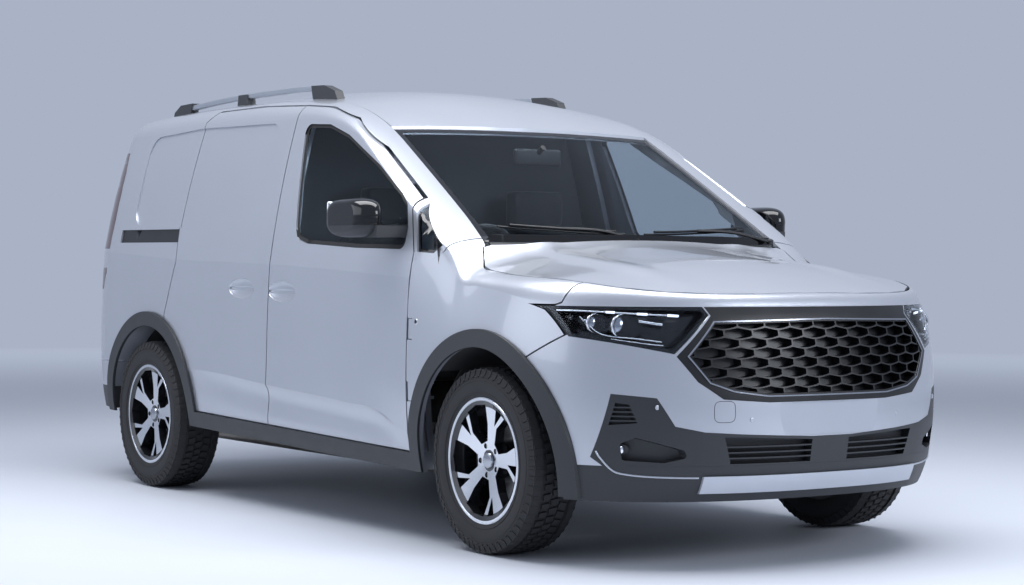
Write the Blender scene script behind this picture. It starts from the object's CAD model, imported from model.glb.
import math

import bmesh
import bpy
from mathutils import Matrix, Vector
from mathutils.bvhtree import BVHTree


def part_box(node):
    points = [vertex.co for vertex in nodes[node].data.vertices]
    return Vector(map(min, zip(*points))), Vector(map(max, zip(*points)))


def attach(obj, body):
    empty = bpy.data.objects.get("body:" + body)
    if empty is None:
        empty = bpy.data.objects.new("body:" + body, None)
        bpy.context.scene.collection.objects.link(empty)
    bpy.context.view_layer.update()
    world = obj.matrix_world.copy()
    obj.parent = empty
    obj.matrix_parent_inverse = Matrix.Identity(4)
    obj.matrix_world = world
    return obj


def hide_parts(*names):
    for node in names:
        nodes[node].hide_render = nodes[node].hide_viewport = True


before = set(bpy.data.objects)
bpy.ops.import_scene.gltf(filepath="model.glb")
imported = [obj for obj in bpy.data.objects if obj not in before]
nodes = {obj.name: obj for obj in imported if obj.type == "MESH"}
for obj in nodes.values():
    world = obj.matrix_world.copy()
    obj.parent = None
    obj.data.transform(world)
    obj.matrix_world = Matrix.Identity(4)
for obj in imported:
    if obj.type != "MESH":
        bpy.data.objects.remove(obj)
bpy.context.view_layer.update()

# Places and sizes of the van that the dressing follows, in metres
FRONT_AXLE_X = 1.4025
REAR_AXLE_X = -1.3525
WHEEL_RADIUS = 0.334
RIM_RADIUS = 0.226
TYRE_HALF_WIDTH = 0.108
FRONT_WHEEL_Y = 0.789
REAR_WHEEL_Y = 0.807
NODE_WHEELS = {
    "front_left": (FRONT_AXLE_X, FRONT_WHEEL_Y),
    "front_right": (FRONT_AXLE_X, -FRONT_WHEEL_Y),
    "rear_left": (REAR_AXLE_X, REAR_WHEEL_Y),
    "rear_right": (REAR_AXLE_X, -REAR_WHEEL_Y),
}
SIDES = (("left", 1), ("right", -1))


# Shared shader effects
def shader_group(name, inputs, outputs):
    """Empty node group with named sockets, and its input and output nodes."""
    group = bpy.data.node_groups.new(name, "ShaderNodeTree")
    for label, kind, value in inputs:
        socket = group.interface.new_socket(label, in_out="INPUT", socket_type=kind)
        socket.default_value = value
    for label, kind in outputs:
        group.interface.new_socket(label, in_out="OUTPUT", socket_type=kind)
    return group, group.nodes.new("NodeGroupInput"), group.nodes.new("NodeGroupOutput")


def mottle_group():
    """Colour, roughness and height that vary over a surface by soft noise and fine grain."""
    group, given, made = shader_group("surface_mottle", [
        ("Color", "NodeSocketColor", (0.5, 0.5, 0.5, 1)), ("Roughness", "NodeSocketFloat", 0.4),
        ("Grain Scale", "NodeSocketFloat", 400.0), ("Grain Colour", "NodeSocketFloat", 0.1),
        ("Soft Scale", "NodeSocketFloat", 6.0), ("Soft Colour", "NodeSocketFloat", 0.05),
        ("Roughness Spread", "NodeSocketFloat", 0.1)],
        [("Color", "NodeSocketColor"), ("Roughness", "NodeSocketFloat"), ("Height", "NodeSocketFloat")])
    tree, link = group.nodes, group.links.new
    place = tree.new("ShaderNodeTexCoord")
    grain = tree.new("ShaderNodeTexNoise")
    grain.inputs["Detail"].default_value = 3
    soft = tree.new("ShaderNodeTexNoise")
    soft.inputs["Detail"].default_value = 2
    for noise, scale in ((grain, "Grain Scale"), (soft, "Soft Scale")):
        link(place.outputs["Object"], noise.inputs["Vector"])
        link(given.outputs[scale], noise.inputs["Scale"])

    def centred(source, strength):
        shift = tree.new("ShaderNodeMath")
        shift.operation = "SUBTRACT"
        shift.inputs[1].default_value = 0.5
        link(source, shift.inputs[0])
        gain = tree.new("ShaderNodeMath")
        gain.operation = "MULTIPLY"
        link(shift.outputs[0], gain.inputs[0])
        link(strength, gain.inputs[1])
        return gain.outputs[0]

    def total(first, second):
        add = tree.new("ShaderNodeMath")
        link(first, add.inputs[0])
        link(second, add.inputs[1])
        return add.outputs[0]

    tone = total(centred(grain.outputs["Fac"], given.outputs["Grain Colour"]),
                 centred(soft.outputs["Fac"], given.outputs["Soft Colour"]))
    brightness = tree.new("ShaderNodeMath")
    brightness.inputs[1].default_value = 1
    link(tone, brightness.inputs[0])
    shade = tree.new("ShaderNodeVectorMath")
    shade.operation = "SCALE"
    link(given.outputs["Color"], shade.inputs[0])
    link(brightness.outputs[0], shade.inputs["Scale"])
    link(shade.outputs[0], made.inputs["Color"])
    link(total(given.outputs["Roughness"], centred(soft.outputs["Fac"], given.outputs["Roughness Spread"])),
         made.inputs["Roughness"])
    link(grain.outputs["Fac"], made.inputs["Height"])
    return group


MOTTLE = mottle_group()


def finish_of(name, colour, roughness, metallic=0.0, coat=0.0, grain=400.0, grain_colour=0.1, soft=6.0,
              soft_colour=0.05, spread=0.1, bump=0.0, bump_depth=0.0002, transmission=0.0, sheen=0.0,
              emission=0.0, ior=1.5):
    """Principled finish whose colour, roughness and bump follow the mottle group."""
    made = bpy.data.materials.new(name)
    made.use_nodes = True
    tree, link = made.node_tree.nodes, made.node_tree.links.new
    shader = tree["Principled BSDF"]
    mottle = tree.new("ShaderNodeGroup")
    mottle.node_tree = MOTTLE
    for label, value in (("Color", (*colour, 1)), ("Roughness", roughness), ("Grain Scale", grain),
                         ("Grain Colour", grain_colour), ("Soft Scale", soft), ("Soft Colour", soft_colour),
                         ("Roughness Spread", spread)):
        mottle.inputs[label].default_value = value
    link(mottle.outputs["Color"], shader.inputs["Base Color"])
    link(mottle.outputs["Roughness"], shader.inputs["Roughness"])
    shader.inputs["Metallic"].default_value = metallic
    shader.inputs["Coat Weight"].default_value = coat
    shader.inputs["Coat Roughness"].default_value = 0.04
    shader.inputs["Transmission Weight"].default_value = transmission
    shader.inputs["Sheen Weight"].default_value = sheen
    shader.inputs["IOR"].default_value = ior
    if emission:
        shader.inputs["Emission Color"].default_value = (*colour, 1)
        shader.inputs["Emission Strength"].default_value = emission
    if bump:
        relief = tree.new("ShaderNodeBump")
        relief.inputs["Strength"].default_value = bump
        relief.inputs["Distance"].default_value = bump_depth
        link(mottle.outputs["Height"], relief.inputs["Height"])
        link(relief.outputs["Normal"], shader.inputs["Normal"])
    made.diffuse_color = (*colour, 1)
    return made


silver_paint = finish_of("silver_paint", (0.50, 0.525, 0.58), 0.36, metallic=0.62, coat=1.0, grain=1500,
                         grain_colour=0.16, soft=3, soft_colour=0.03, spread=0.05, bump=0.10, bump_depth=0.00004)
jamb_paint = finish_of("jamb_paint", (0.42, 0.45, 0.50), 0.45, metallic=0.5, grain=900, soft_colour=0.1)
dark_plastic = finish_of("dark_plastic", (0.030, 0.032, 0.037), 0.50, grain=900, grain_colour=0.35, soft=9,
                         soft_colour=0.25, spread=0.18, bump=0.5, bump_depth=0.0003)
gloss_black = finish_of("gloss_black", (0.004, 0.004, 0.005), 0.10, coat=0.2, grain=600, grain_colour=0.1,
                        soft=14, soft_colour=0.2, spread=0.06)
satin_black = finish_of("satin_black", (0.008, 0.0085, 0.010), 0.34, grain=700, grain_colour=0.25, soft=12,
                        soft_colour=0.3, spread=0.12, bump=0.2, bump_depth=0.0002)
seal_rubber = finish_of("seal_rubber", (0.012, 0.012, 0.013), 0.6, grain=500, grain_colour=0.3, bump=0.3)
tyre_rubber = finish_of("tyre_rubber", (0.020, 0.020, 0.022), 0.72, grain=350, grain_colour=0.4, soft=11,
                        soft_colour=0.35, spread=0.15, bump=0.5, bump_depth=0.0004)
cut_alloy = finish_of("cut_alloy", (0.72, 0.74, 0.78), 0.20, metallic=1.0, coat=0.4, grain=900,
                      grain_colour=0.08, soft=20, soft_colour=0.05, spread=0.08)
dark_alloy = finish_of("dark_alloy", (0.018, 0.019, 0.022), 0.22, metallic=0.4, coat=0.7, grain=800,
                       grain_colour=0.2, spread=0.1)
brake_steel = finish_of("brake_steel", (0.45, 0.45, 0.46), 0.34, metallic=1.0, grain=260, grain_colour=0.25,
                        soft=30, soft_colour=0.2, spread=0.2, bump=0.25)
bright_trim = finish_of("bright_trim", (0.78, 0.80, 0.84), 0.12, metallic=1.0, grain=300, grain_colour=0.05,
                        spread=0.05)
dark_chrome = finish_of("dark_chrome", (0.42, 0.44, 0.48), 0.18, metallic=1.0, grain=300, grain_colour=0.1,
                        spread=0.06)
silver_plastic = finish_of("silver_plastic", (0.55, 0.58, 0.64), 0.38, metallic=0.6, grain=900,
                           grain_colour=0.12, soft_colour=0.08, spread=0.1)
rail_metal = finish_of("rail_metal", (0.50, 0.53, 0.58), 0.36, metallic=0.9, grain=700, grain_colour=0.15,
                       spread=0.1, bump=0.1)
underseal = finish_of("underseal", (0.022, 0.022, 0.023), 0.75, grain=160, grain_colour=0.5, soft=5,
                      soft_colour=0.4, spread=0.2, bump=0.7, bump_depth=0.0008)
tank_plastic = finish_of("tank_plastic", (0.024, 0.024, 0.025), 0.5, grain=300, grain_colour=0.3, bump=0.3)
engine_metal = finish_of("engine_metal", (0.20, 0.20, 0.21), 0.6, metallic=0.7, grain=120, grain_colour=0.5,
                         soft_colour=0.4, bump=0.6, bump_depth=0.0008)
pipe_steel = finish_of("pipe_steel", (0.34, 0.31, 0.28), 0.45, metallic=0.9, grain=200, grain_colour=0.4,
                       soft=4, soft_colour=0.5, spread=0.3, bump=0.3)
cabin_plastic = finish_of("cabin_plastic", (0.030, 0.031, 0.034), 0.58, grain=1100, grain_colour=0.3,
                          soft=7, soft_colour=0.2, bump=0.5, bump_depth=0.0003)
bulkhead_board = finish_of("bulkhead_board", (0.10, 0.105, 0.115), 0.6, grain=500, grain_colour=0.2,
                           bump=0.3)
floor_board = finish_of("floor_board", (0.09, 0.088, 0.085), 0.55, grain=220, grain_colour=0.5, soft=3,
                        soft_colour=0.3, bump=0.5)
lamp_body = finish_of("lamp_body", (0.013, 0.014, 0.017), 0.18, metallic=0.3, coat=0.4, grain=500,
                      grain_colour=0.2)
lamp_light = finish_of("lamp_light", (0.80, 0.86, 1.0), 0.2, emission=1.1, grain=300, grain_colour=0.05)
smoked_red = finish_of("smoked_red", (0.050, 0.004, 0.006), 0.10, coat=0.5, grain=200, grain_colour=0.2,
                       soft=18, soft_colour=0.3)
lamp_red = finish_of("lamp_red", (0.35, 0.012, 0.012), 0.18, coat=0.5, grain=160, grain_colour=0.3)
lamp_amber = finish_of("lamp_amber", (0.55, 0.16, 0.02), 0.2, coat=0.5, grain=160, grain_colour=0.3)


def glass_of(name, colour, roughness=0.0):
    """Tinted glass, with a faint variation of the tint."""
    return finish_of(name, colour, roughness, transmission=1.0, grain=40, grain_colour=0.03, soft=2,
                     soft_colour=0.04, spread=0.0, ior=1.12)


screen_glass = glass_of("screen_glass", (0.70, 0.76, 0.80))
door_glass = glass_of("door_glass", (0.60, 0.66, 0.70))
dark_glass = glass_of("dark_glass", (0.16, 0.18, 0.20))
lens_glass = glass_of("lens_glass", (0.90, 0.93, 0.96))
mirror_glass = finish_of("mirror_glass", (0.80, 0.82, 0.85), 0.03, metallic=1.0, grain=60, grain_colour=0.02)


def cloth_finish(name, colour, scale):
    """Woven cloth: two crossed waves in object space, with a soft sheen."""
    made = finish_of(name, colour, 0.85, grain=900, grain_colour=0.4, soft=8, soft_colour=0.2, sheen=0.4)
    tree, link = made.node_tree.nodes, made.node_tree.links.new
    place = tree.new("ShaderNodeTexCoord")
    waves = []
    for direction in ("X", "Z"):
        wave = tree.new("ShaderNodeTexWave")
        wave.bands_direction = direction
        wave.inputs["Scale"].default_value = scale
        wave.inputs["Distortion"].default_value = 0.6
        link(place.outputs["Object"], wave.inputs["Vector"])
        waves.append(wave)
    weave = tree.new("ShaderNodeMath")
    weave.operation = "MAXIMUM"
    link(waves[0].outputs["Fac"], weave.inputs[0])
    link(waves[1].outputs["Fac"], weave.inputs[1])
    relief = tree.new("ShaderNodeBump")
    relief.inputs["Strength"].default_value = 0.5
    relief.inputs["Distance"].default_value = 0.0006
    link(weave.outputs[0], relief.inputs["Height"])
    link(relief.outputs["Normal"], tree["Principled BSDF"].inputs["Normal"])
    return made


seat_cloth = cloth_finish("seat_cloth", (0.030, 0.031, 0.035), 260)
seat_insert = cloth_finish("seat_insert", (0.055, 0.057, 0.064), 180)

# Finishes of the CAD nodes
NODE_FINISHES = {
    silver_paint: ["front_door_left", "front_door_right", "sliding_doors", "body_sides", "front_wings", "bonnet",
                   "roof_panel", "rear_header", "front_bumper", "rear_door_left", "rear_door_right",
                   "rear_bumper"],
    screen_glass: ["windscreen"],
    door_glass: ["door_glass_left", "door_glass_right", "quarter_glasses"],
    dark_glass: ["rear_glass_left", "rear_glass_right"],
    smoked_red: ["tail_lamps"],
    lens_glass: ["headlamp_lenses"],
    lamp_body: ["headlamps"],
    satin_black: ["grille", "slide_rails", "slam_panel"],
    gloss_black: ["mirror_cap_left", "mirror_cap_right"],
    dark_chrome: ["grille_trim"],
    dark_plastic: ["bumper_cladding", "mirror_left", "mirror_right", "rail_feet", "rear_valance", "side_cladding",
                   "cowl_panel"],
    cabin_plastic: ["dashboard", "steering_wheel"],
    bulkhead_board: ["bulkhead"],
    floor_board: ["load_floor"],
    silver_plastic: ["skid_plate"],
    rail_metal: ["roof_rails"],
    underseal: ["floor_pan", "front_subframe", "rear_axle", "knuckle_left", "knuckle_right"],
    tank_plastic: ["fuel_tank"],
    engine_metal: ["engine_block"],
    pipe_steel: ["exhaust"],
}
for finish, names in NODE_FINISHES.items():
    for name in names:
        nodes[name].data.materials.clear()
        nodes[name].data.materials.append(finish)


def repaint(name, finish, wanted):
    """Gives a second finish to the faces of a node that wanted(centre, normal) picks."""
    mesh = nodes[name].data
    if finish.name not in mesh.materials:
        mesh.materials.append(finish)
    index = list(mesh.materials).index(finish)
    for face in mesh.polygons:
        if wanted(face.center, face.normal):
            face.material_index = index


# Rims: machined front faces, dark pockets and barrel, steel discs behind
SPOKE_FACE_REACH = 0.045
HUB_BORE_RADIUS = 0.036
HUB_RADIUS = 0.078
DISC_RADIUS = 0.152
DISC_REACH = 0.03
FLAT_SHARE = 0.985
STEEL_SHARE = 0.6
KNUCKLE_STEEL_Y = 0.74
for wheel, (axle_x, axle_y) in NODE_WHEELS.items():
    out = math.copysign(1, axle_y)
    rim = nodes["rim_" + wheel]
    rim.data.materials.clear()
    rim.data.materials.append(dark_alloy)

    def radius_of(point, axle_x=axle_x):
        return math.hypot(point.x - axle_x, point.z - WHEEL_RADIUS)

    def machined(centre, normal, axle_y=axle_y, out=out):
        offset = (centre.y - axle_y) * out
        return normal.y * out > FLAT_SHARE and offset > SPOKE_FACE_REACH and radius_of(centre) > HUB_BORE_RADIUS

    def steel(centre, normal, axle_y=axle_y, out=out):
        offset = (centre.y - axle_y) * out
        return (HUB_RADIUS < radius_of(centre) < DISC_RADIUS and offset < DISC_REACH
                and abs(normal.y) > STEEL_SHARE)

    repaint(rim.name, cut_alloy, machined)
    repaint(rim.name, brake_steel, steel)
for side, out in SIDES:
    repaint("knuckle_" + side, brake_steel, lambda centre, normal: abs(centre.y) > KNUCKLE_STEEL_Y)


# Doors and jambs: rubber on the edges of the window frames, duller paint on the inner walls
WAIST_Z = 1.06
FRAME_TOP_Z = 1.55
JAMB_Y = 0.80
JAMB_TOP_Z = 1.0


def window_edge(centre, normal):
    """Faces across a door above its waist, but not its rear edge."""
    rear_edge = normal.x > 0.5 and centre.x < 0.0 and centre.z < FRAME_TOP_Z
    return centre.z > WAIST_Z and abs(normal.y) < 0.5 and normal.z < 0.6 and not rear_edge


def inner_wall(centre, normal):
    return abs(centre.y) < JAMB_Y and abs(normal.y) > 0.8 and centre.z < JAMB_TOP_Z


for side, out in SIDES:
    repaint("front_door_" + side, seal_rubber, window_edge)
repaint("body_sides", jamb_paint, inner_wall)


# Mesh helpers
def piece(name, shape, finish, body="root", smooth=True, recalc=True):
    """Object from a bmesh, which rides on a body."""
    if recalc:
        bmesh.ops.recalc_face_normals(shape, faces=shape.faces)
    mesh = bpy.data.meshes.new(name)
    shape.to_mesh(mesh)
    shape.free()
    made = bpy.data.objects.new(name, mesh)
    bpy.context.scene.collection.objects.link(made)
    mesh.materials.append(finish)
    for face in mesh.polygons:
        face.use_smooth = smooth
    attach(made, body)
    return made


def block(shape, centre, size, turn=None, bevel=0.0, segments=2):
    """Adds a bevelled block to a bmesh."""
    place = Matrix.Translation(centre) @ (turn or Matrix.Identity(4)) @ Matrix.Diagonal((*size, 1))
    made = bmesh.ops.create_cube(shape, size=1, matrix=place)
    if bevel:
        edges = list({edge for vert in made["verts"] for edge in vert.link_edges})
        bmesh.ops.bevel(shape, geom=edges, offset=bevel, segments=segments, profile=0.5, affect="EDGES",
                        material=-1)


def disc(shape, centre, radius, depth, axis, segments=32, taper=1.0, bevel=0.0):
    """Adds a short closed cylinder along an axis to a bmesh."""
    turn = Vector((0, 0, 1)).rotation_difference(axis).to_matrix().to_4x4()
    made = bmesh.ops.create_cone(shape, cap_ends=True, segments=segments, radius1=radius, radius2=radius * taper,
                                 depth=depth, matrix=Matrix.Translation(centre) @ turn)
    if bevel:
        edges = [e for e in {e for v in made["verts"] for e in v.link_edges}
                 if len(e.link_faces) == 2 and e.calc_face_angle() > 1]
        bmesh.ops.bevel(shape, geom=edges, offset=bevel, segments=2, profile=0.5, affect="EDGES", material=-1)


def bar(shape, points, radius, sides=10):
    """Adds a round bar through points to a bmesh."""
    curve = bpy.data.curves.new("bar_path", "CURVE")
    curve.dimensions = "3D"
    curve.bevel_depth = radius
    curve.bevel_resolution = max(1, sides // 4)
    curve.use_fill_caps = True
    spline = curve.splines.new("POLY")
    spline.points.add(len(points) - 1)
    for target, point in zip(spline.points, points):
        target.co = (*point, 1)
    holder = bpy.data.objects.new("bar_path", curve)
    bpy.context.scene.collection.objects.link(holder)
    bpy.context.view_layer.update()
    mesh = bpy.data.meshes.new_from_object(holder.evaluated_get(bpy.context.evaluated_depsgraph_get()))
    shape.from_mesh(mesh)
    bpy.data.objects.remove(holder)
    bpy.data.curves.remove(curve)
    bpy.data.meshes.remove(mesh)


def skin_of(name, wanted):
    """Merged copy of the faces of a CAD node that wanted(centre, normal) picks."""
    shape = bmesh.new()
    shape.from_mesh(nodes[name].data)
    bmesh.ops.remove_doubles(shape, verts=shape.verts, dist=0.00002)
    shape.normal_update()
    unwanted = [face for face in shape.faces if not wanted(face.calc_center_median(), face.normal)]
    bmesh.ops.delete(shape, geom=unwanted, context="FACES")
    return shape


def border_band(name, node, finish, body, width, lift, wanted):
    """Band along the border of a pane's outer face, a hair above it."""
    shape = skin_of(node, wanted)
    shape.normal_update()
    ring = bmesh.ops.inset_region(shape, faces=shape.faces[:], thickness=width, use_boundary=True,
                                  use_even_offset=True)["faces"]
    keep = set(ring)
    bmesh.ops.delete(shape, geom=[face for face in shape.faces if face not in keep], context="FACES")
    for vert in shape.verts:
        vert.co += vert.normal * lift
    return piece(name, shape, finish, body, recalc=False)


def facing(direction, share=0.55):
    wish = Vector(direction).normalized()
    return lambda centre, normal: normal.dot(wish) > share


# Black bands and seals round the panes
border_band("screen_band", "windscreen", gloss_black, "root", 0.030, 0.0006, facing((0.6, 0, 0.8), 0.3))
for side, out in SIDES:
    border_band("door_seal_" + side, "door_glass_" + side, seal_rubber, "front_door_" + side, 0.016, 0.0012,
                facing((0, out, 0.3)))
    border_band("rear_pane_band_" + side, "rear_glass_" + side, gloss_black, "rear_door_" + side, 0.030, 0.0008,
                facing((-1, 0, 0.2)))
    border_band("quarter_band_" + side, "quarter_glasses", gloss_black, "root", 0.012, 0.0008,
                lambda centre, normal, out=out: normal.y * out > 0.5)


# Tyres with block tread: each block is y, width, length share, phase and skew in degrees
TREAD_PITCHES = 58
TREAD_BLOCK_RADIUS = 0.3275
TREAD_BLOCK_DEPTH = 0.012
SHOULDER_BLOCKS = ((0.0, 0.66, 0.0), (0.5, 0.30, 0.006))
SHOULDER_PLACE = (0.0800, 0.3225)
SHOULDER_SIZE = (0.034, 0.016)
SHOULDER_LEAN = math.radians(-14)
FLANK_PLACE = (0.0975, 0.3085)
FLANK_SIZE = (0.012, 0.030)
FLANK_LEAN = math.radians(28)
FLANK_SHARE = 0.9
TYRE_LIMIT_RADIUS = 0.3336
TYRE_LIMIT_Y = 0.1065
CARCASS_PROFILE = [
    (-0.093, 0.2215), (-0.099, 0.232), (-0.1045, 0.252), (-0.1062, 0.272), (-0.1050, 0.290), (-0.1010, 0.306),
    (-0.0930, 0.3180), (-0.0800, 0.3245), (-0.0400, 0.3262), (0.0, 0.3264),
]
TREAD_BLOCKS = [
    (0.0, 0.030, 0.62, 0.0, 12), (0.036, 0.030, 0.60, 0.45, -10), (-0.036, 0.030, 0.60, 0.45, -10),
]


def tread_row(shape, step):
    """Blocks of one pitch: three across the crown, then two on each shoulder and flank."""
    pitch = math.tau / TREAD_PITCHES
    for y, width, length_share, phase, skew in TREAD_BLOCKS:
        turn = Matrix.Rotation((step + phase) * pitch, 4, "Y")
        size = (WHEEL_RADIUS * pitch * length_share, width, TREAD_BLOCK_DEPTH)
        cut = Matrix.Rotation(math.radians(skew if y >= 0 else -skew), 4, "Z")
        place = turn @ Matrix.Translation((0, y, TREAD_BLOCK_RADIUS)) @ cut @ Matrix.Diagonal((*size, 1))
        bmesh.ops.create_cube(shape, size=1, matrix=place)
    for out in (1, -1):
        for phase, length_share, reach in SHOULDER_BLOCKS:
            turn = Matrix.Rotation((step + phase + (0.5 if out > 0 else 0.0)) * pitch, 4, "Y")
            length = WHEEL_RADIUS * pitch * length_share
            y, radius = SHOULDER_PLACE
            lean = Matrix.Rotation(out * SHOULDER_LEAN, 4, "X")
            place = turn @ Matrix.Translation((0, out * (y + reach / 3), radius)) @ lean
            bmesh.ops.create_cube(shape, size=1, matrix=place @ Matrix.Diagonal((length, *SHOULDER_SIZE, 1)))
            y, radius = FLANK_PLACE
            lean = Matrix.Rotation(out * FLANK_LEAN, 4, "X")
            place = turn @ Matrix.Translation((0, out * y, radius + reach)) @ lean
            size = (length * FLANK_SHARE, *FLANK_SIZE)
            bmesh.ops.create_cube(shape, size=1, matrix=place @ Matrix.Diagonal((*size, 1)))


def tyre(wheel, axle_x, axle_y):
    """Tyre with its tread, in place of the plain one."""
    shape = bmesh.new()
    profile = CARCASS_PROFILE + [(-y, r) for y, r in CARCASS_PROFILE[-2::-1]]
    verts = [shape.verts.new((0, y, r)) for y, r in profile]
    edges = [shape.edges.new(pair) for pair in zip(verts, verts[1:])]
    bmesh.ops.spin(shape, geom=verts + edges, cent=(0, 0, 0), axis=(0, 1, 0), dvec=(0, 0, 0),
                   angle=math.tau, steps=TREAD_PITCHES * 2, use_merge=True, use_duplicate=False)
    for step in range(TREAD_PITCHES):
        tread_row(shape, step)
    for vert in shape.verts:
        radius = math.hypot(vert.co.x, vert.co.z)
        if radius > TYRE_LIMIT_RADIUS:
            vert.co.x *= TYRE_LIMIT_RADIUS / radius
            vert.co.z *= TYRE_LIMIT_RADIUS / radius
        vert.co.y = max(-TYRE_LIMIT_Y, min(TYRE_LIMIT_Y, vert.co.y))
    bmesh.ops.translate(shape, verts=shape.verts, vec=(axle_x, axle_y, WHEEL_RADIUS))
    made = piece("tread_tyre_" + wheel, shape, tyre_rubber, "wheel_" + wheel)
    made.data.shade_smooth()
    soften(made, 30)
    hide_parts("tyre_" + wheel)
    wheel_trim(wheel, axle_x, axle_y)


def soften(made, angle):
    """Sharp shading where faces meet at more than an angle in degrees."""
    made.data.set_sharp_from_angle(angle=math.radians(angle))


def ring_about(shape, section, centre, axis, steps):
    """Adds a closed ring, a section turned about an axis, to a bmesh."""
    ring = [shape.verts.new(point) for point in section]
    edges = [shape.edges.new((ring[i], ring[(i + 1) % len(ring)])) for i in range(len(ring))]
    bmesh.ops.spin(shape, geom=ring + edges, cent=centre, axis=axis, dvec=(0, 0, 0), angle=math.tau,
                   steps=steps, use_merge=True, use_duplicate=False)


# Wheel trim: ribs as radius, thickness and offset, and the rim's edge as radius and proud height
SIDEWALL_RIBS = ((0.286, 0.0014, 0.1052), (0.242, 0.0020, 0.1022))
RIM_EDGE = ((0.2165, -0.004), (0.2175, 0.0006), (0.2235, 0.0010), (0.2250, -0.0010), (0.2235, -0.004))
RIM_LIP_RADIUS = 0.218
HUB_FACE_RADIUS = 0.045
CAP_RADIUS = 0.030
NUT_COUNT = 5
NUT_CIRCLE = 0.054
NUT_RADIUS = 0.0085
NUT_START = 50


def wheel_trim(wheel, axle_x, axle_y):
    """Moulded ribs round the sidewall, the rim's bright edge, the centre cap and the nuts."""
    out = math.copysign(1, axle_y)
    outward = Vector((0, out, 0))
    shape = bmesh.new()
    for radius, thick, offset in SIDEWALL_RIBS:
        section = [(radius + thick * math.cos(a), out * offset + thick * math.sin(a), 0)
                   for a in (0, math.tau / 4, math.tau / 2, math.tau * 3 / 4)]
        ring_about(shape, section, (0, 0, 0), (0, 1, 0), 96)
    bmesh.ops.translate(shape, verts=shape.verts, vec=(axle_x, axle_y, WHEEL_RADIUS))
    piece("sidewall_ribs_" + wheel, shape, tyre_rubber, "wheel_" + wheel)
    face = rim_reach(wheel, out, lambda radius: radius < HUB_FACE_RADIUS)
    cap = bmesh.new()
    disc(cap, Vector((axle_x, face + out * 0.003, WHEEL_RADIUS)), CAP_RADIUS, 0.012, outward, 48, 0.9, 0.0025)
    piece("centre_cap_" + wheel, cap, dark_chrome, "wheel_" + wheel)
    lip = rim_reach(wheel, out, lambda radius: radius > RIM_LIP_RADIUS)
    edge = bmesh.new()
    ring_about(edge, [(radius, lip + out * proud, 0) for radius, proud in RIM_EDGE], (0, 0, 0), (0, 1, 0), 96)
    bmesh.ops.translate(edge, verts=edge.verts, vec=(axle_x, 0, WHEEL_RADIUS))
    soften(piece("rim_edge_" + wheel, edge, cut_alloy, "wheel_" + wheel), 40)
    nuts = bmesh.new()
    for index in range(NUT_COUNT):
        bearing = math.radians(NUT_START + 360 / NUT_COUNT * index)
        centre = Vector((axle_x + NUT_CIRCLE * math.sin(bearing), face - out * 0.012,
                         WHEEL_RADIUS + NUT_CIRCLE * math.cos(bearing)))
        disc(nuts, centre, NUT_RADIUS, 0.016, outward, 6, 0.9, 0.001)
    piece("wheel_nuts_" + wheel, nuts, brake_steel, "wheel_" + wheel, smooth=False)


def rim_reach(wheel, out, wanted):
    """Outward reach of a rim, over the radii that wanted picks."""
    axle_x = NODE_WHEELS[wheel][0]
    return out * max(vert.co.y * out for vert in nodes["rim_" + wheel].data.vertices
                     if wanted(math.hypot(vert.co.x - axle_x, vert.co.z - WHEEL_RADIUS)))


for wheel, (axle_x, axle_y) in NODE_WHEELS.items():
    tyre(wheel, axle_x, axle_y)


# Points on the skin of a node
def ray_hit(name, start, direction, depth=0.0):
    """Point where a ray meets a node, pushed in by a depth."""
    tree = BVHTree.FromPolygons([v.co for v in nodes[name].data.vertices],
                                [list(f.vertices) for f in nodes[name].data.polygons])
    point, normal, face, far = tree.ray_cast(Vector(start), Vector(direction))
    if point is None:
        return None
    return point - normal * depth


def nose_point(name, y, z, depth=0.0):
    return ray_hit(name, (3, y, z), (-1, 0, 0), depth)


def nose_run(name, places, out, depth):
    """Points of a line on the nose, without those that miss the node."""
    points = [nose_point(name, y * out, z, depth) for y, z in places]
    return [point for point in points if point]


def side_point(name, x, z, out, depth=0.0):
    return ray_hit(name, (x, 3 * out, z), (0, -out, 0), depth)


def smooth_run(points, count=6):
    """Points along a smooth curve through a few given ones."""
    run = []
    for index in range(len(points) - 1):
        before = points[max(index - 1, 0)]
        after = points[min(index + 2, len(points) - 1)]
        first, last = points[index], points[index + 1]
        for step in range(count):
            t = step / count
            square = 2 * before - 5 * first + 4 * last - after
            cube = 3 * first - before - 3 * last + after
            run.append(0.5 * ((2 * first) + (last - before) * t + square * t ** 2 + cube * t ** 3))
    return run + [points[-1]]


# Headlamps: strip, dashes, blade, outline and projectors behind the lens, as width and height of points
LAMP_STRIP = [(0.835, 0.879), (0.800, 0.879), (0.735, 0.875), (0.660, 0.870), (0.585, 0.866)]
LAMP_OUTLINE = [(0.800, 0.860), (0.788, 0.832), (0.760, 0.798), (0.680, 0.786), (0.615, 0.776)]
LAMP_LOWER = [(0.745, 0.784), (0.700, 0.776), (0.650, 0.768), (0.612, 0.764)]
LAMP_DASHES = [
    [(0.742, 0.8755), (0.722, 0.8745)], [(0.668, 0.8705), (0.640, 0.8690)], [(0.585, 0.866), (0.552, 0.864)],
]
LAMP_BLADE = [(0.668, 0.848), (0.640, 0.842), (0.605, 0.836)]
PROJECTORS = [(0.7588, 0.8352, 0.026), (0.6977, 0.8262, 0.034)]
PROJECTOR_RING = ((0.0, 0.0), (0.018, 0.004), (0.020, 0.007), (-0.004, 0.006))
PROJECTOR_SETBACK = 0.052
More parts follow.
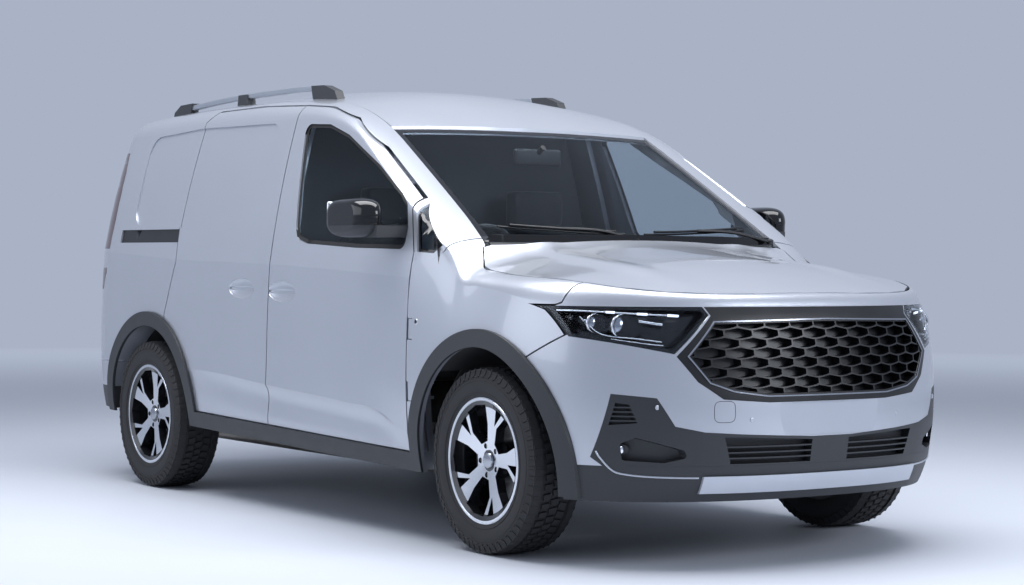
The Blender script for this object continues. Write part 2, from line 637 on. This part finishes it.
for side, out in SIDES:
    strip, dashes, blade, outline = bmesh.new(), bmesh.new(), bmesh.new(), bmesh.new()
    bar(strip, smooth_run(nose_run("headlamp_lenses", LAMP_STRIP, out, 0.007)), 0.0030)
    piece("light_strip_" + side, strip, bright_trim)
    for run in LAMP_DASHES:
        bar(dashes, nose_run("headlamp_lenses", run, out, 0.006), 0.0042)
    piece("light_dashes_" + side, dashes, lamp_light)
    bar(blade, smooth_run(nose_run("headlamp_lenses", LAMP_BLADE, out, 0.014)), 0.0050)
    piece("lamp_blade_" + side, blade, bright_trim)
    for run in (LAMP_OUTLINE, LAMP_LOWER):
        bar(outline, smooth_run(nose_run("headlamp_lenses", run, out, 0.009)), 0.0022)
    piece("lamp_outline_" + side, outline, bright_trim)
    rings, eyes = bmesh.new(), bmesh.new()
    for y, z, radius in PROJECTORS:
        near = nose_point("headlamp_lenses", y * out, z, 0.0)
        centre = Vector((near.x - PROJECTOR_SETBACK, y * out, z))
        ring_about(rings, [centre + Vector((along, 0, radius + wide)) for along, wide in PROJECTOR_RING],
                   centre, (1, 0, 0), 40)
        bmesh.ops.create_uvsphere(eyes, u_segments=32, v_segments=16, radius=1, matrix=Matrix.Translation(
            centre + Vector((0.004, 0, 0))) @ Matrix.Diagonal((radius * 0.55, radius * 0.96, radius * 0.96, 1)))
    piece("projector_rings_" + side, rings, bright_trim)
    piece("projector_eyes_" + side, eyes, dark_chrome)

# Fog lamps, parking sensors, silver line under the fog surrounds, and the gap round the tow cover
FOG_PLACE = (0.714, 0.410)
SENSOR_PLACES = ((-0.335, 0.512), (0.335, 0.512), (-0.640, 0.556), (0.640, 0.556))
SENSOR_TURN = 0.35
BEVEL_LINE = [
    (0.780, 0.405), (0.769, 0.381), (0.737, 0.338), (0.700, 0.326), (0.643, 0.320), (0.560, 0.317),
    (0.500, 0.316),
]
COVER_PLACE = (-0.432, 0.540)
COVER_HALF = 0.036
COVER_STEPS = 40
for side, out in SIDES:
    fog = bmesh.new()
    y, z = FOG_PLACE
    near = nose_point("bumper_cladding", y * out, z, 0.0)
    disc(fog, Vector((near.x + 0.001, y * out, z)), 0.0145, 0.006, Vector((1, 0, 0)), 32, 0.9, 0.0015)
    piece("fog_lamp_" + side, fog, bright_trim)
sensors = bmesh.new()
for y, z in SENSOR_PLACES:
    near = nose_point("front_bumper", y, z) or nose_point("bumper_cladding", y, z)
    outward = Vector((1, y * SENSOR_TURN, 0)).normalized()
    disc(sensors, near + outward * 0.0002, 0.0085, 0.003, outward, 24, 0.95, 0.0006)
piece("parking_sensors", sensors, silver_paint)
for side, out in SIDES:
    bevel_line = bmesh.new()
    bar(bevel_line, smooth_run(nose_run("bumper_cladding", BEVEL_LINE, out, -0.0012), 4), 0.0034, 8)
    piece("bevel_line_" + side, bevel_line, silver_plastic)


def squared(share):
    """Sine or cosine of a rounded square."""
    return math.copysign(abs(share) ** 0.5, share)


cover = bmesh.new()
loop = []
for step in range(COVER_STEPS + 1):
    angle = math.tau * step / COVER_STEPS
    loop.append(nose_point("front_bumper", COVER_PLACE[0] + COVER_HALF * squared(math.cos(angle)),
                           COVER_PLACE[1] + COVER_HALF * squared(math.sin(angle)), -0.0001))
bar(cover, loop, 0.0009, 4)
piece("tow_cover_gap", cover, seal_rubber)


def patch(shape, rows, out):
    """Adds faces over rows of points to a bmesh, which look away from the van."""
    verts = [[shape.verts.new(point) for point in row] for row in rows]
    faces = [shape.faces.new((verts[i][j], verts[i][j + 1], verts[i + 1][j + 1], verts[i + 1][j]))
             for i in range(len(verts) - 1) for j in range(len(verts[0]) - 1)]
    shape.normal_update()
    if faces[0].normal.y * out < 0:
        bmesh.ops.reverse_faces(shape, faces=faces)


# Covers over the wings' hinge pockets, flush with the skin beside them
HINGE_POCKETS = [(0.5235, 0.5975), (0.7535, 0.8275)]
COVER_XS = (0.9305, 0.9440, 0.9575)
SKIN_XS = (0.962, 0.982)
for side, out in SIDES:
    covers = bmesh.new()
    for low, high in HINGE_POCKETS:
        rows = []
        for z in (low, (low + high) / 2, high):
            near, far = [side_point("front_wings", x, z, out) for x in SKIN_XS]
            slope = (far.y - near.y) / (SKIN_XS[1] - SKIN_XS[0])
            rows.append([Vector((x, near.y + slope * (x - near.x), z)) for x in COVER_XS])
        patch(covers, rows, out)
    bmesh.ops.solidify(covers, geom=covers.faces[:], thickness=0.0016)
    piece("hinge_covers_" + side, covers, silver_paint, smooth=False)

# Dot of the door lock, with its bright ring
LOCK_PLACE = (0.980, 0.818)
for side, out in SIDES:
    near = side_point("front_wings", *LOCK_PLACE, out)
    lock, lock_ring = bmesh.new(), bmesh.new()
    disc(lock, near + Vector((0, out * 0.0008, 0)), 0.0080, 0.002, Vector((0, out, 0)), 24, 0.95, 0.0004)
    disc(lock_ring, near, 0.0125, 0.0020, Vector((0, out, 0)), 24, 0.95, 0.0004)
    piece("lock_dot_" + side, lock, gloss_black)
    piece("lock_ring_" + side, lock_ring, bright_trim)

# Smoked lens round each rear corner: its heights, and its first and last bearings in degrees
WRAP_CENTRE = (-1.70, 0.60)
WRAP_LEVELS = [
    (0.90, 34, 53), (0.98, 26, 54), (1.10, 22, 56), (1.22, 22, 58), (1.34, 24, 61), (1.46, 28, 66),
    (1.55, 36, 70),
]
WRAP_STEPS = 8
for side, out in SIDES:
    rows = []
    for z, first, last in WRAP_LEVELS:
        row = []
        for step in range(WRAP_STEPS + 1):
            bearing = math.radians(first + (last - first) * step / WRAP_STEPS)
            away = Vector((-math.sin(bearing), math.cos(bearing) * out, 0))
            start = Vector((WRAP_CENTRE[0], WRAP_CENTRE[1] * out, z)) + away * 2
            hits = [hit for hit in (ray_hit(name, start, -away) for name in ("body_sides", "tail_lamps")) if hit]
            near = min(hits, key=lambda hit: (hit - start).length)
            row.append(near + away * 0.0010)
        rows.append(row)
    wrap = bmesh.new()
    patch(wrap, rows, out)
    bmesh.ops.solidify(wrap, geom=wrap.faces[:], thickness=0.0022)
    soften(piece("lamp_wrap_" + side, wrap, smoked_red), 40)

# Wipers along the foot of the windscreen: ends of each blade and its pivot, across the van
WIPERS = [(-0.055, -0.600, -0.020), (0.600, 0.040, 0.660)]
WIPER_STEPS = 12
WIPER_X = 1.128
WIPER_BOW = 0.20
PIVOT_PLACE = (1.158, 1.128)
for index, (blade_start, blade_end, pivot_y) in enumerate(WIPERS):
    wiper = bmesh.new()
    blade = []
    for step in range(WIPER_STEPS + 1):
        y = blade_start + (blade_end - blade_start) * step / WIPER_STEPS
        blade.append(ray_hit("windscreen", (WIPER_X - WIPER_BOW * y * y, y, 3), (0, 0, -1), -0.006))
    bar(wiper, blade, 0.0045, 6)
    lifted = [point + Vector((0.004, 0, 0.010)) for point in blade]
    bar(wiper, lifted[1:-1], 0.0055, 6)
    middle = lifted[WIPER_STEPS // 2]
    pivot = Vector((PIVOT_PLACE[0], pivot_y, PIVOT_PLACE[1]))
    bar(wiper, smooth_run([pivot, pivot.lerp(middle, 0.5) + Vector((0.0, 0, 0.014)), middle]), 0.0065, 8)
    disc(wiper, pivot, 0.014, 0.020, Vector((0.4, 0, 0.9)), 20, 0.85, 0.002)
    piece("wiper_" + str(index + 1), wiper, satin_black)

# Seats: padded cushions and backs with bolsters and sewn channels, in shares of half a pad
BOLSTER_START = 0.62
EDGE_START = 0.90
SEAM_PLACE = 0.60
SEAM_WIDTH = 0.035
CHANNEL_PLACES = (-0.45, 0.0, 0.45)
CHANNEL_WIDTH = 0.03


def pad(name, low, high, crown_axis, bolster, finish):
    """Crowned pad with raised side bolsters and a pulled-in rim."""
    shape = bmesh.new()
    centre, half = (low + high) / 2, (high - low) / 2
    bmesh.ops.create_cube(shape, size=2)
    bmesh.ops.subdivide_edges(shape, edges=shape.edges, cuts=9, use_grid_fill=True)
    for vert in shape.verts:
        u, v, w = vert.co
        lengthwise, wide, thick = (u, v, w) if crown_axis == "Z" else (w, v, u)
        round_off = (1 - 0.10 * abs(lengthwise) ** 6) * (1 - 0.05 * abs(thick) ** 4)
        across = wide * (1 - 0.06 * abs(lengthwise) ** 8) * (1 - 0.04 * abs(thick) ** 4)
        swell = 0.86 + 0.10 * (1 - lengthwise ** 2)
        swell += bolster * max(0.0, abs(wide) - BOLSTER_START) / (1 - BOLSTER_START)
        swell -= 0.10 * max(0.0, abs(wide) - EDGE_START) / (1 - EDGE_START)
        channel = 0.035 * math.exp(-((abs(wide) - SEAM_PLACE) / SEAM_WIDTH) ** 2)
        if abs(wide) < SEAM_PLACE:
            depths = [math.exp(-((lengthwise - place) / CHANNEL_WIDTH) ** 2) for place in CHANNEL_PLACES]
            channel += 0.02 * sum(depths)
        front = thick * (swell - channel) if thick > 0 else thick
        if crown_axis == "Z":
            vert.co = Vector((lengthwise * round_off, across, front))
        else:
            vert.co = Vector((front, across, lengthwise * round_off))
        vert.co = Vector((vert.co.x * half.x, vert.co.y * half.y, vert.co.z * half.z)) + centre
        vert.co.x = max(low.x, min(high.x, vert.co.x))
        vert.co.z = max(low.z, min(high.z, vert.co.z))
    made = piece(name, shape, finish)
    finer = made.modifiers.new("soft", "SUBSURF")
    finer.levels = finer.render_levels = 1
    return made


seat_low, seat_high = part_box("seats")
BACK_DEPTH = 0.140
CUSHION_TOP = 0.700
BACK_TOP = 1.18
SEAT_Y = 0.37
SEAT_HALF_WIDTH = 0.245
HEADREST_HALF_WIDTH = 0.13
BOLSTER = 0.16
stands_for_seats = []
for side, out in SIDES:
    middle_y = out * SEAT_Y
    left, right = middle_y - SEAT_HALF_WIDTH, middle_y + SEAT_HALF_WIDTH
    cushion = pad("seat_cushion_" + side, Vector((seat_low.x + BACK_DEPTH, left, seat_low.z)),
                  Vector((seat_high.x, right, CUSHION_TOP)), "Z", BOLSTER, seat_cloth)
    back = pad("seat_back_" + side, Vector((seat_low.x, left, seat_low.z + 0.02)),
               Vector((seat_low.x + BACK_DEPTH, right, BACK_TOP)), "X", BOLSTER, seat_cloth)
    rest = pad("headrest_" + side,
               Vector((seat_low.x + 0.02, middle_y - HEADREST_HALF_WIDTH, BACK_TOP + 0.01)),
               Vector((seat_low.x + 0.11, middle_y + HEADREST_HALF_WIDTH, seat_high.z)), "X", 0.0, seat_insert)
    stands_for_seats += [cushion, back, rest]
    belt = bmesh.new()
    place = (seat_low.x + BACK_DEPTH + 0.18, middle_y - out * 0.215, 0.66)
    block(belt, place, (0.03, 0.02, 0.10), bevel=0.004)
    piece("belt_buckle_" + side, belt, cabin_plastic)
for made in stands_for_seats:
    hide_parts("seats")

# Cab details that show through the glass
mirror = bmesh.new()
block(mirror, (0.455, 0, 1.470), (0.030, 0.230, 0.070), bevel=0.012, segments=3)
bar(mirror, [Vector((0.465, 0, 1.49)), Vector((0.50, 0, 1.512))], 0.012)
piece("cab_mirror", mirror, cabin_plastic)
binnacle = bmesh.new()
block(binnacle, (0.760, -0.37, 1.068), (0.16, 0.34, 0.07), Matrix.Rotation(math.radians(-12), 4, "Y"), 0.02, 3)
block(binnacle, (0.715, 0.0, 1.055), (0.025, 0.28, 0.17), Matrix.Rotation(math.radians(8), 4, "Y"), 0.008, 3)
piece("instrument_hood", binnacle, cabin_plastic)
vents = bmesh.new()
for y in (-0.66, -0.18, 0.18, 0.66):
    for row in range(4):
        block(vents, (0.700, y, 0.955 + 0.014 * row), (0.012, 0.105, 0.004), bevel=0.001, segments=1)
piece("air_vents", vents, dark_chrome)

# Mirror panes on the backs of the mirror heads
for side, out in SIDES:
    pane = bmesh.new()
    low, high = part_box("mirror_cap_" + side)
    block(pane, (low.x + 0.010, (low.y + high.y) / 2, (low.z + high.z) / 2 - 0.006), (0.014, 0.078, 0.092),
          bevel=0.006, segments=3)
    piece("mirror_pane_" + side, pane, mirror_glass, "front_door_" + side)

# Rear: handle, plate lamp, high stop lamp and reflectors
rear_point = ray_hit("rear_door_left", (-4, -0.06, 0.96), (1, 0, 0)) or Vector((-2.24, -0.06, 0.96))
pull = bmesh.new()
block(pull, rear_point + Vector((-0.004, 0, 0)), (0.012, 0.075, 0.150), bevel=0.005, segments=3)
piece("rear_handle", pull, satin_black, "rear_door_left")
stop = bmesh.new()
header_low, header_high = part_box("rear_header")
stop_point = ray_hit("rear_header", (-4, 0, header_low.z + 0.02), (1, 0, 0)) or header_low
block(stop, stop_point + Vector((-0.001, 0, 0)), (0.010, 0.30, 0.016), bevel=0.003)
piece("high_stop_lamp", stop, lamp_red)
for side, out in SIDES:
    reflector = bmesh.new()
    hit = ray_hit("rear_valance", (-4, 0.66 * out, 0.40), (1, 0, 0))
    block(reflector, hit + Vector((-0.001, 0, 0)), (0.008, 0.150, 0.030), Matrix.Rotation(
        math.radians(18 * out), 4, "Z"), bevel=0.003)
    piece("rear_reflector_" + side, reflector, lamp_red)

# Camera, from the photograph's perspective
CAMERA_PLACE = Vector((7.9046, -5.1749, 1.0488))
CAMERA_AZIMUTH = math.radians(55.85)
CAMERA_PITCH = math.radians(0.85)
CAMERA_ROLL = math.radians(0.32)
CAMERA_LENS = 77.07
CAMERA_SENSOR = 36
ahead = Vector((-math.sin(CAMERA_AZIMUTH) * math.cos(CAMERA_PITCH),
                math.cos(CAMERA_AZIMUTH) * math.cos(CAMERA_PITCH), -math.sin(CAMERA_PITCH)))
camera_data = bpy.data.cameras.new("camera")
camera_data.lens = CAMERA_LENS
camera_data.sensor_width = CAMERA_SENSOR
camera = bpy.data.objects.new("camera", camera_data)
camera.location = CAMERA_PLACE
camera.rotation_mode = "QUATERNION"
camera.rotation_quaternion = (ahead.to_track_quat("-Z", "Y").to_matrix()
                              @ Matrix.Rotation(CAMERA_ROLL, 3, "Z")).to_quaternion()
bpy.context.scene.collection.objects.link(camera)
bpy.context.scene.camera = camera

# Floor, backdrop and lights
BACKDROP_COLOUR = (0.40, 0.45, 0.56)
FLOOR_FADE = (6.0, 17.0)
scene = bpy.context.scene
scene.view_settings.view_transform = "Standard"
world = bpy.data.worlds.new("studio")
scene.world = world
world.use_nodes = True
tree, link = world.node_tree.nodes, world.node_tree.links.new
sky = tree["Background"]
sky.inputs["Color"].default_value = (0.66, 0.73, 0.88, 1)
sky.inputs["Strength"].default_value = 0.36
backdrop = tree.new("ShaderNodeBackground")
backdrop.inputs["Color"].default_value = (*BACKDROP_COLOUR, 1)
backdrop.inputs["Strength"].default_value = 1.0
path = tree.new("ShaderNodeLightPath")
mix = tree.new("ShaderNodeMixShader")
seen = tree.new("ShaderNodeMath")
seen_at_all = tree.new("ShaderNodeMath")
seen_at_all.use_clamp = True
link(path.outputs["Is Camera Ray"], seen.inputs[0])
link(path.outputs["Is Glossy Ray"], seen.inputs[1])
link(seen.outputs[0], seen_at_all.inputs[0])
link(path.outputs["Is Transmission Ray"], seen_at_all.inputs[1])
link(seen_at_all.outputs[0], mix.inputs["Fac"])
link(sky.outputs[0], mix.inputs[1])
link(backdrop.outputs[0], mix.inputs[2])
link(mix.outputs[0], tree["World Output"].inputs["Surface"])

floor_shape = bmesh.new()
bmesh.ops.create_circle(floor_shape, cap_ends=True, segments=96, radius=40)
floor_mesh = bpy.data.meshes.new("studio_floor")
floor_shape.to_mesh(floor_mesh)
floor_shape.free()
floor = bpy.data.objects.new("studio_floor", floor_mesh)
scene.collection.objects.link(floor)
floor_finish = finish_of("studio_floor", (0.62, 0.66, 0.74), 0.55, grain=3, grain_colour=0.03, soft=0.5,
                         soft_colour=0.04)
floor_mesh.materials.append(floor_finish)
# The floor turns into the backdrop with distance, so no horizon shows
tree, link = floor_finish.node_tree.nodes, floor_finish.node_tree.links.new
place = tree.new("ShaderNodeTexCoord")
far = tree.new("ShaderNodeVectorMath")
far.operation = "LENGTH"
fade = tree.new("ShaderNodeMapRange")
fade.interpolation_type = "SMOOTHSTEP"
fade.inputs["From Min"].default_value, fade.inputs["From Max"].default_value = FLOOR_FADE
near = tree.new("ShaderNodeMapRange")
near.interpolation_type = "SMOOTHSTEP"
near.inputs["From Min"].default_value, near.inputs["From Max"].default_value = FLOOR_FADE
near.inputs["To Min"].default_value, near.inputs["To Max"].default_value = 1.0, 0.0
shade = tree.new("ShaderNodeVectorMath")
shade.operation = "SCALE"
shader = tree["Principled BSDF"]
link(place.outputs["Object"], far.inputs[0])
link(far.outputs["Value"], fade.inputs["Value"])
link(far.outputs["Value"], near.inputs["Value"])
link(tree["Group"].outputs["Color"], shade.inputs[0])
link(near.outputs["Result"], shade.inputs["Scale"])
link(shade.outputs[0], shader.inputs["Base Color"])
link(near.outputs["Result"], shader.inputs["Specular IOR Level"])
shader.inputs["Emission Color"].default_value = (*BACKDROP_COLOUR, 1)
link(fade.outputs["Result"], shader.inputs["Emission Strength"])


def softbox(name, place, aim, size, power, colour=(1, 1, 1)):
    data = bpy.data.lights.new(name, "AREA")
    data.shape = "RECTANGLE"
    data.size, data.size_y = size
    data.energy = power
    data.color = colour
    lamp = bpy.data.objects.new(name, data)
    lamp.location = place
    lamp.rotation_mode = "QUATERNION"
    lamp.rotation_quaternion = (Vector(aim) - Vector(place)).to_track_quat("-Z", "Y")
    scene.collection.objects.link(lamp)


softbox("top_light", (0.6, -0.7, 5.2), (0.2, -0.4, 0.8), (7.0, 3.4), 470, (0.97, 0.98, 1.0))
softbox("front_light", (6.8, 2.2, 2.8), (1.6, 0, 0.7), (3.0, 2.2), 150, (0.88, 0.92, 1.0))
softbox("side_light", (-3.0, -9.0, 3.4), (-0.4, 0, 0.8), (9.0, 4.0), 150, (0.88, 0.92, 1.0))
